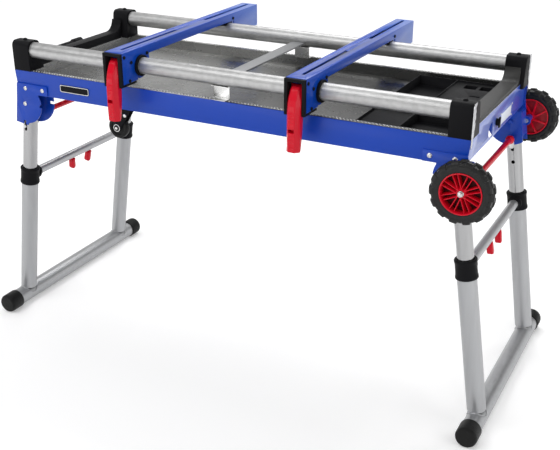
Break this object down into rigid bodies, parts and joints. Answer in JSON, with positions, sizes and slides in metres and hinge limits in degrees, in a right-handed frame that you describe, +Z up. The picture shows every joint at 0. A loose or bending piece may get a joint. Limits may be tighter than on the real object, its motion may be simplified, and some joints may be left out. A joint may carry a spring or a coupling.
{
  "type": "folding rolling workbench",
  "caption": "Folding rolling work stand: round support tubes, sliding slotted tool arms with cam levers, parts tray, height-adjustable splayed legs and transport wheels.",
  "frame": {"origin": "on the floor, at the middle of the bench's overall box", "axes": "+X along the bench towards the transport wheels, +Y away from the cam levers, +Z up"},
  "size_m": [1.508, 0.739, 0.859],
  "materials": {
    "blue_paint": "gloss",
    "dark_grey_paint": "satin",
    "black_plastic": "matte",
    "grey_plastic": "matte",
    "red_plastic": "gloss",
    "bright_tube": "brushed",
    "satin_tube": "satin",
    "steel": "zinc plated",
    "black_rubber": "matte",
    "tyre_rubber": "matte"
  },
  "bodies": {
    "top_frame": {"side_rail_front": "blue_paint", "side_rail_rear": "blue_paint", "end_rail_left": "blue_paint", "end_rail_right": "blue_paint", "cross_member": "blue_paint", "steel_tray": "dark_grey_paint", "organiser_tray": "black_plastic", "front_tube": "bright_tube", "rear_tube": "bright_tube", "cap_front_left": "black_plastic", "cap_front_right": "black_plastic", "cap_rear_left": "black_plastic", "cap_rear_right": "black_plastic", "end_beam_left": "black_plastic", "end_beam_right": "grey_plastic", "end_plate_right": "steel", "cap_screws": "black_plastic", "tie_bar": "steel", "tube_clips": "steel", "name_plate": "black_plastic", "frame_rivets": "steel", "leg_pivot_pins": "steel", "bracket_front_left": "blue_paint", "bracket_rear_left": "blue_paint", "bracket_front_right": "blue_paint", "bracket_rear_right": "blue_paint", "wheel_axles": "steel", "caster_hangers": "blue_paint", "handle_guides": "black_plastic"},
    "left_leg_upper": {"left_inner_tubes": "bright_tube"},
    "left_leg_lower": {"left_foot_frame": "satin_tube", "left_collars": "black_plastic", "left_crossbar": "satin_tube", "left_foot_caps": "black_rubber"},
    "left_lock": {"left_lock_bar": "red_plastic"},
    "left_front_release": {"left_trigger_front": "red_plastic"},
    "left_rear_release": {"left_trigger_rear": "red_plastic"},
    "left_tool_arm": {"left_arm": "blue_paint", "left_arm_clamp": "black_plastic"},
    "left_cam": {"left_lever": "red_plastic"},
    "right_leg_upper": {"right_inner_tubes": "bright_tube"},
    "right_leg_lower": {"right_foot_frame": "satin_tube", "right_collars": "black_plastic", "right_crossbar": "satin_tube", "right_foot_caps": "black_rubber"},
    "right_lock": {"right_lock_bar": "red_plastic"},
    "right_front_release": {"right_trigger_front": "red_plastic"},
    "right_rear_release": {"right_trigger_rear": "red_plastic"},
    "right_tool_arm": {"right_arm": "blue_paint", "right_arm_clamp": "black_plastic"},
    "right_cam": {"right_lever": "red_plastic"},
    "front_wheel": {"front_tyre": "tyre_rubber", "front_hub": "red_plastic"},
    "front_caster": {"caster_wheel_front": "black_rubber"},
    "rear_wheel": {"rear_tyre": "tyre_rubber", "rear_hub": "red_plastic"},
    "rear_caster": {"caster_wheel_rear": "black_rubber"},
    "handle": {"pull_handle": "black_plastic", "handle_rods": "steel"},
    "latch": {"end_latch": "black_plastic"}
  },
  "joints": [
    {"name": "left_leg_fold", "type": "hinge", "parent": "top_frame", "child": "left_leg_upper", "pos_m": [-0.629, -0.0335, 0.66162], "axis": [0, -1, 0], "range_deg": [0, 97]},
    {"name": "left_leg_height", "type": "slide", "parent": "left_leg_upper", "child": "left_leg_lower", "axis": [0.1513, 0, 0.9885], "range_m": [0, 0.115]},
    {"name": "left_lock_slide", "type": "slide", "parent": "left_leg_upper", "child": "left_lock", "axis": [-0.1513, 0, -0.9885], "range_m": [-0.015, 0.009], "stiffness_N_per_m": 2000},
    {"name": "left_trigger_front_squeeze", "type": "slide", "parent": "left_leg_lower", "child": "left_front_release", "axis": [0, 1, 0], "range_m": [-0.008, 0.006], "stiffness_N_per_m": 1000},
    {"name": "left_trigger_rear_squeeze", "type": "slide", "parent": "left_leg_lower", "child": "left_rear_release", "axis": [0, -1, 0], "range_m": [-0.008, 0.006], "stiffness_N_per_m": 1000},
    {"name": "left_arm_slide", "type": "slide", "parent": "top_frame", "child": "left_tool_arm", "axis": [1, 0, 0], "range_m": [-0.29, 0.2]},
    {"name": "left_cam_lever", "type": "hinge", "parent": "left_tool_arm", "child": "left_cam", "pos_m": [-0.27, -0.3305, 0.83002], "axis": [-1, 0, 0], "range_deg": [0, 50]},
    {"name": "right_leg_fold", "type": "hinge", "parent": "top_frame", "child": "right_leg_upper", "pos_m": [0.629, -0.0335, 0.66162], "axis": [0, 1, 0], "range_deg": [0, 97]},
    {"name": "right_leg_height", "type": "slide", "parent": "right_leg_upper", "child": "right_leg_lower", "axis": [-0.1513, 0, 0.9885], "range_m": [0, 0.115]},
    {"name": "right_lock_slide", "type": "slide", "parent": "right_leg_upper", "child": "right_lock", "axis": [0.1513, 0, -0.9885], "range_m": [-0.015, 0.009], "stiffness_N_per_m": 2000},
    {"name": "right_trigger_front_squeeze", "type": "slide", "parent": "right_leg_lower", "child": "right_front_release", "axis": [0, 1, 0], "range_m": [-0.008, 0.006], "stiffness_N_per_m": 1000},
    {"name": "right_trigger_rear_squeeze", "type": "slide", "parent": "right_leg_lower", "child": "right_rear_release", "axis": [0, -1, 0], "range_m": [-0.008, 0.006], "stiffness_N_per_m": 1000},
    {"name": "right_arm_slide", "type": "slide", "parent": "top_frame", "child": "right_tool_arm", "axis": [1, 0, 0], "range_m": [-0.185, 0.31]},
    {"name": "right_cam_lever", "type": "hinge", "parent": "right_tool_arm", "child": "right_cam", "pos_m": [0.248, -0.3305, 0.83002], "axis": [-1, 0, 0], "range_deg": [0, 50]},
    {"name": "front_wheel_spin", "type": "hinge", "parent": "top_frame", "child": "front_wheel", "pos_m": [0.66, -0.3455, 0.65462], "axis": [0, 1, 0], "continuous": true},
    {"name": "front_caster_spin", "type": "hinge", "parent": "top_frame", "child": "front_caster", "pos_m": [-0.35503, -0.2273, 0.61562], "axis": [0, 1, 0], "continuous": true},
    {"name": "rear_wheel_spin", "type": "hinge", "parent": "top_frame", "child": "rear_wheel", "pos_m": [0.66, 0.2785, 0.65462], "axis": [0, 1, 0], "continuous": true},
    {"name": "rear_caster_spin", "type": "hinge", "parent": "top_frame", "child": "rear_caster", "pos_m": [-0.35503, 0.1603, 0.61562], "axis": [0, 1, 0], "continuous": true},
    {"name": "handle_pull", "type": "slide", "parent": "top_frame", "child": "handle", "axis": [-1, 0, 0], "range_m": [0, 0.3]},
    {"name": "end_latch_turn", "type": "hinge", "parent": "top_frame", "child": "latch", "pos_m": [0.65, -0.0495, 0.72902], "axis": [1, 0, 0], "range_deg": [0, 90]}
  ]
}
